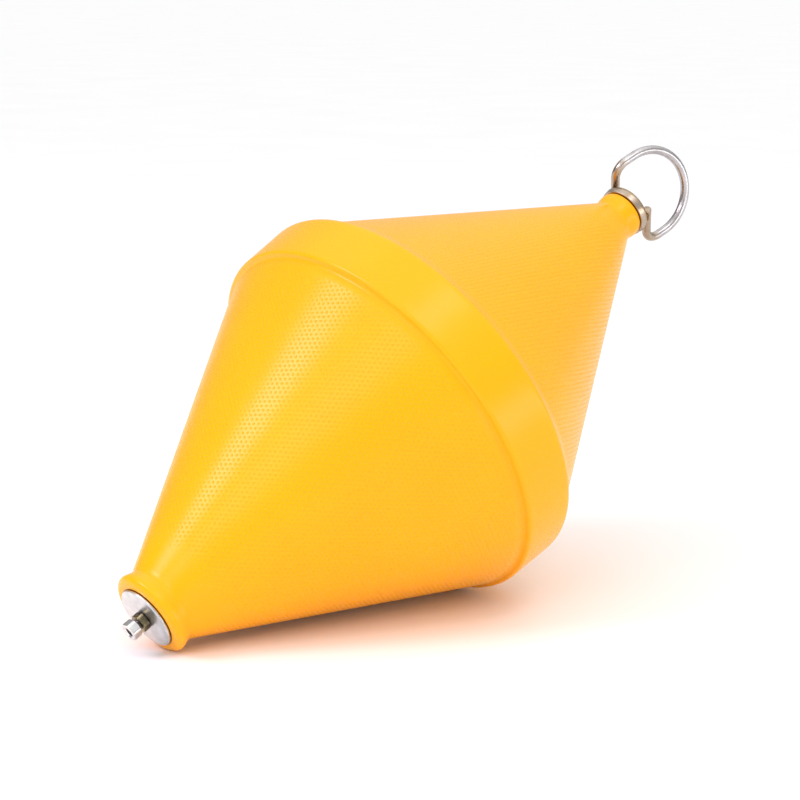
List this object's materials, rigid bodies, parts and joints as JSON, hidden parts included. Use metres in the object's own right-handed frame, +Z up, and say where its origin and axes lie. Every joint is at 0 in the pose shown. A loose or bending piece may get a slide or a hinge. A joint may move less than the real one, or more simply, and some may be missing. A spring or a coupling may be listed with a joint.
{
  "type": "marker buoy",
  "caption": "Double-cone yellow plastic marker buoy on a steel tie rod, with a plate and nuts at one end and a plate with a welded mooring ring at the other.",
  "frame": {"origin": "on the floor, under the middle of the buoy's bounding box as it lies at rest", "axes": "+Z up, +X along the floor from the nut end towards the raised ring end"},
  "size_m": [0.7172, 0.4022, 0.4237],
  "materials": {
    "float": "satin",
    "rod": "satin",
    "nut_plate": "satin",
    "jam_nut": "satin",
    "end_nut": "polished",
    "ring_plate": "satin",
    "ring": "polished"
  },
  "bodies": {
    "float": {"float_body": "float"},
    "mooring_gear": {"tie_rod": "rod", "nut_end_plate": "nut_plate", "jam_nut": "jam_nut", "end_nut": "end_nut", "ring_end_plate": "ring_plate", "mooring_ring": "ring"}
  },
  "joints": [
    {"name": "mooring_swivel", "type": "hinge", "parent": "float", "child": "mooring_gear", "pos_m": [-0.33389, 0, 0.03514], "axis": [0.8854, 0, 0.4649], "continuous": true}
  ]
}
